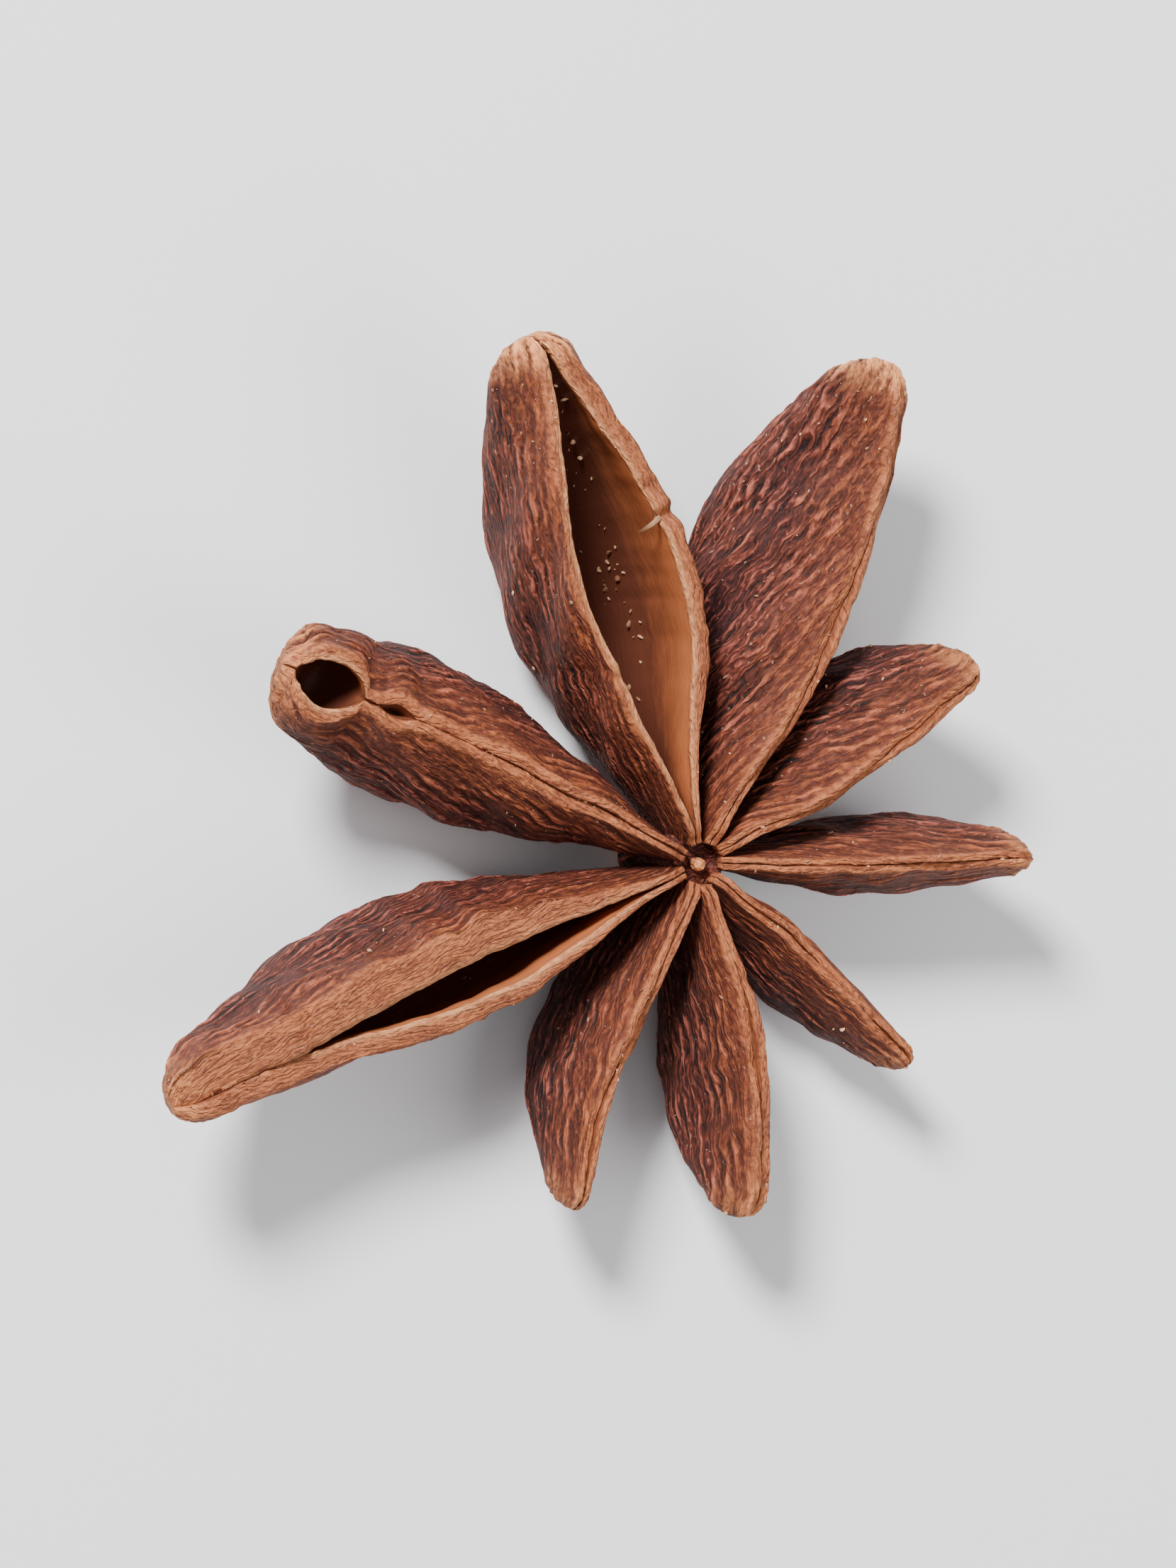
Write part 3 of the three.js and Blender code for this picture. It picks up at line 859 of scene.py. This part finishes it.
def make_column(material):
    """The column with bumps all over and the knob on its top, which is rubbed pale."""
    radius, top = COLUMN["radius"], COLUMN["top"]
    knob, knob_top = COLUMN["knob_radius"], COLUMN["knob_top"]
    profile = [
        (AXIS_GAP, -ROOT_DEPTH), (radius * 0.8, -ROOT_DEPTH), (radius, -ROOT_DEPTH * 0.8),
        (radius, top - 0.4), (radius * 0.75, top), (knob * 1.3, top), (knob, knob_top - 0.15),
        (knob * 0.2, knob_top),
    ]
    rings = turned_grid(profile, COLUMN["steps"])
    marks = plain_marks(rings, tone=0.4, ridge=0.4, fold=0.5)
    on_knob = (rings[..., 2] > top + 0.15) & (np.hypot(rings[..., 0], rings[..., 1]) < 0.5)
    marks["tip"] = np.where(on_knob, 1.0, 0.0)
    bumps = gradient_noise(rings * 2.0, 21) * COLUMN["bumps"]
    rings = rings + grid_normals(rings) * bumps[..., None]
    return skin_over("column", rings, row_middles(rings), marks, material)


def make_stalk(material):
    """The stub of the stalk, fibrous along its sides and broken off pale at its end."""
    radius, flare, length = STALK["radius"], STALK["flare"], STALK["length"]
    profile = [
        (AXIS_GAP, -length * 0.98), (radius * 0.8, -length * 1.02), (radius, -length * 0.9),
        (radius * 0.95, -length * 0.5), (flare, 0), (0.3, 0.8),
    ]
    rings = turned_grid(profile, STALK["steps"])
    angle = np.arctan2(rings[..., 1], rings[..., 0])
    fibres = ridges(np.stack([np.cos(angle) * 4, np.sin(angle) * 4, rings[..., 2] * 0.5], axis=-1), 23)
    marks = plain_marks(rings, tone=0.5, fold=0.5)
    marks["ridge"] = fibres
    marks["tip"] = smooth((-rings[..., 2] / length - 0.8) * 8)
    broken = gradient_noise(rings * 3.0, 25) * STALK["broken"] * marks["tip"]
    rings = rings + grid_normals(rings) * (STALK["fibres"] * fibres + broken)[..., None]
    rings = tip_over(rings, STALK["lean"], STALK["toward"]) - np.array([0, 0, ROOT_DEPTH])
    return skin_over("stalk", rings, row_middles(rings), marks, material)


def make_flap(carpel, index, material):
    """A shred torn loose at the right lip, arched into the mouth and tapering to its end."""
    out = np.linspace(0, 1, FLAP["steps"])[:, None]
    angle = np.arange(FLAP["sides"]) * 2 * np.pi / FLAP["sides"]
    half_width = FLAP["width"] / 2 * (1 - FLAP["taper"] * out**2)
    x = FLAP["drift"] * out**1.5 + half_width * np.cos(angle)
    sizes = section_sizes(carpel, index, FLAP["share"] + x / carpel["length"])
    y = -sizes["half_gap"] - FLAP["root"] + FLAP["reach"] * np.sin(np.pi / 2 * out)
    arch = FLAP["lift"] * np.sin(np.pi * out) - FLAP["drop"] * out**2 - FLAP["sink"]
    z = sizes["top"] + arch + FLAP["thickness"] / 2 * np.sin(angle)
    rings = place_sections(carpel, index, sizes, y, z)
    # The shred's tone falls from root to end: painted highlight where it leaves the lip, painted shade where
    # it curls down.
    return skin_over("flap", rings, row_middles(rings), dict(tone=mix(*FLAP["tones"], out) + 0 * y), material)


def upward_spots(piece, inside):
    """The places and normals of a carpel's vertices that face up, on its outside or in its hollow."""
    mesh = piece.data
    places = np.empty(len(mesh.vertices) * 3)
    mesh.vertices.foreach_get("co", places)
    normals = np.empty(len(mesh.vertices) * 3)
    mesh.vertices.foreach_get("normal", normals)
    within = np.empty(len(mesh.vertices))
    mesh.attributes["inside"].data.foreach_get("value", within)
    places = places.reshape(-1, 3) / MM
    normals = normals.reshape(-1, 3)
    fit = (normals[:, 2] > FACING_UP) & ((within > WELL_INSIDE) == inside)
    return places[fit], normals[fit]


def unit_lump():
    """The corners and faces of a small round lump of radius 1."""
    bm = bmesh.new()
    bmesh.ops.create_icosphere(bm, subdivisions=1, radius=1)
    corners = np.array([v.co[:] for v in bm.verts])
    faces = np.array([[v.index for v in f.verts] for f in bm.faces])
    bm.free()
    return corners, faces


def make_crumbs(name, spots, count, radii, rng, material):
    """Small lumps of husk lying on chosen spots, as one mesh."""
    places, normals = spots
    base, faces = unit_lump()
    chosen = rng.integers(len(places), size=count)
    radius = radii[0] * (radii[1] / radii[0]) ** (rng.random(count) ** CRUMB["small"])
    uneven = rng.uniform(*CRUMB["corners"], size=(count, len(base), 1))
    shape = base * uneven * rng.uniform(CRUMB["least"], CRUMB["most"], size=(count, 1, 3))
    angles = rng.uniform(0, 2 * math.pi, size=(count, 3))
    turns = np.array([Euler(angle).to_matrix() for angle in angles])
    vertices = np.einsum("nij,nvj->nvi", turns, shape) * radius[:, None, None]
    vertices = vertices + (places[chosen] + normals[chosen] * radius[:, None] * CRUMB["lift"])[:, None]
    vertices[..., 2] = np.maximum(vertices[..., 2], 0)
    corners = faces[None] + (np.arange(count) * len(base))[:, None, None]
    mesh = bpy.data.meshes.new(name)
    mesh.from_pydata((vertices.reshape(-1, 3) * MM).tolist(), [], corners.reshape(-1, 3).tolist())
    tone = np.repeat(rng.random(count), len(base))
    mesh.attributes.new("tone", "FLOAT", "POINT").data.foreach_set("value", tone.astype(np.float32))
    mesh.materials.append(material)
    add_piece(name, mesh)


def scatter_crumbs(carpels, material):
    """Crumbs on the outside of all carpels, and in the two long hollows."""
    rng = np.random.default_rng(CRUMB_SEED)
    outside = [upward_spots(piece, False) for piece in carpels.values()]
    outside = [np.concatenate(part) for part in zip(*outside)]
    in_open = upward_spots(carpels["carpel_open"], True)
    in_slit = upward_spots(carpels["carpel_slit"], True)
    make_crumbs("crumbs_outside", outside, **CRUMBS_OUTSIDE, rng=rng, material=material)
    make_crumbs("crumbs_in_open", in_open, **CRUMBS_IN_OPEN, rng=rng, material=material)
    make_crumbs("crumbs_in_slit", in_slit, **CRUMBS_IN_SLIT, rng=rng, material=material)


# Stage, light and camera --------------------------------------------------------------------------


def make_floor():
    radius, segments = FLOOR["radius"], FLOOR["segments"]
    bpy.ops.mesh.primitive_circle_add(vertices=segments, radius=radius, fill_type="NGON")
    floor = bpy.context.object
    floor.name = "floor"
    n = Nodes("paper")
    n.shader.inputs["Base Color"].default_value = FLOOR["colour"]
    n.shader.inputs["Roughness"].default_value = FLOOR["roughness"]
    floor.data.materials.append(n.material)


def make_lamp(name, place, size, power):
    lamp = bpy.data.lights.new(name, "AREA")
    lamp.shape = "DISK"
    lamp.size = size
    lamp.energy = power
    light = bpy.data.objects.new(name, lamp)
    bpy.context.collection.objects.link(light)
    light.location = place
    light.rotation_euler = (Vector(LAMP_TARGET) - Vector(place)).to_track_quat("-Z", "Y").to_euler()


def make_world():
    world = bpy.data.worlds.new("studio")
    world.use_nodes = True
    background = world.node_tree.nodes["Background"]
    background.inputs["Color"].default_value = SKY["colour"]
    background.inputs["Strength"].default_value = SKY["strength"]
    bpy.context.scene.world = world


def make_camera():
    """Looks down on the pod, tilted to the pod's left, with +Y up in the picture."""
    tilt = math.radians(CAMERA["tilt"])
    back = Vector((-math.sin(tilt), 0, math.cos(tilt)))
    up = Vector((0, 1, 0))
    right = up.cross(back)
    place = Vector(CAMERA["target"]) + back * CAMERA["distance"]
    facing = Matrix((right, up, back)).transposed().to_4x4()
    camera = bpy.data.objects.new("camera", bpy.data.cameras.new("camera"))
    bpy.context.collection.objects.link(camera)
    camera.matrix_world = Matrix.Translation(place) @ facing
    camera.data.lens = CAMERA["lens"]
    camera.data.sensor_fit = "VERTICAL"
    camera.data.sensor_height = CAMERA["sensor"]
    bpy.context.scene.camera = camera


husk = husk_material()
dust = dust_material()
carpels = make_carpels(husk)
scatter_crumbs(carpels, dust)
make_flap(CARPELS[0], 0, dust)
make_column(husk)
make_stalk(husk)
make_floor()
make_world()
for lamp_name, lamp in LAMPS.items():
    make_lamp(lamp_name, **lamp)
make_camera()
